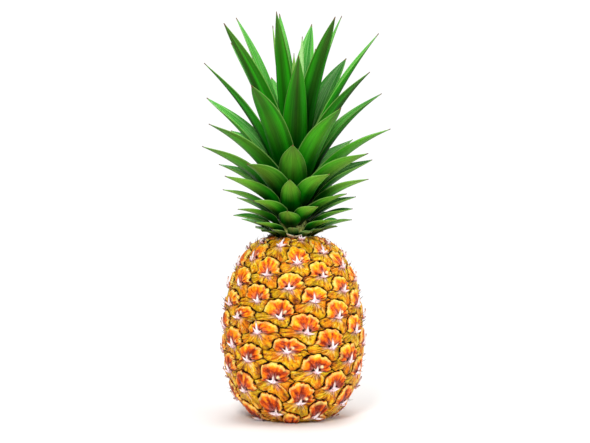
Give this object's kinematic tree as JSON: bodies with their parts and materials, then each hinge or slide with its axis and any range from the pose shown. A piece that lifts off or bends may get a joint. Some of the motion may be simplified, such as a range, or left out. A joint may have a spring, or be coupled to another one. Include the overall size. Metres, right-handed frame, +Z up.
{
  "type": "pineapple",
  "caption": "Whole ripe pineapple with its full leafy crown, standing upright on the flat base where its stalk was cut.",
  "frame": {"origin": "centre of the flat base, on the face of the cut stalk", "axes": "+Z up along the core to the crown; -Y is the side shown in the picture; +X to its right"},
  "size_m": [0.1626, 0.1571, 0.3514],
  "materials": {
    "fruit_skin": "waxy golden rind: orange-yellow domed fruitlets in dark brown creases, paler dry bracts",
    "cut_stalk": "dry fibrous cut stalk, matt tan with darker bundles",
    "crown_stem": "pale green fleshy stem, satin",
    "leaf": "stiff waxy green leaf, fine lengthwise grain, darker towards the foot, silvery bloom beneath",
    "heart_leaf": "young pale green leaf, rolled, satin"
  },
  "bodies": {
    "root": {"fruit": "fruit_skin", "cut_stalk": "cut_stalk", "crown_stem": "crown_stem", "crown_heart": "heart_leaf", "leaf_01": "leaf", "leaf_02": "leaf", "leaf_03": "leaf", "leaf_04": "leaf", "leaf_05": "leaf", "leaf_06": "leaf", "leaf_07": "leaf", "leaf_08": "leaf", "leaf_09": "leaf", "leaf_10": "leaf", "leaf_11": "leaf", "leaf_12": "leaf", "leaf_13": "leaf", "leaf_14": "leaf", "leaf_15": "leaf", "leaf_16": "leaf", "leaf_17": "leaf", "leaf_18": "leaf", "leaf_19": "leaf", "leaf_20": "leaf", "leaf_21": "leaf", "leaf_22": "leaf", "leaf_23": "leaf", "leaf_24": "leaf", "leaf_25": "leaf", "leaf_26": "leaf", "leaf_27": "leaf", "leaf_28": "leaf", "leaf_29": "leaf", "leaf_30": "leaf", "leaf_31": "leaf", "leaf_32": "leaf", "leaf_33": "leaf", "leaf_34": "leaf", "leaf_35": "leaf", "leaf_36": "leaf", "leaf_37": "leaf", "leaf_38": "leaf", "leaf_39": "leaf", "leaf_40": "leaf", "leaf_41": "leaf", "leaf_42": "leaf", "leaf_43": "leaf", "leaf_44": "leaf", "leaf_45": "leaf", "leaf_46": "leaf", "leaf_47": "leaf", "leaf_48": "leaf", "leaf_49": "leaf", "leaf_50": "leaf", "leaf_51": "leaf", "leaf_52": "leaf", "leaf_53": "leaf", "leaf_54": "leaf", "leaf_55": "leaf", "leaf_56": "leaf"}
  },
  "joints": []
}
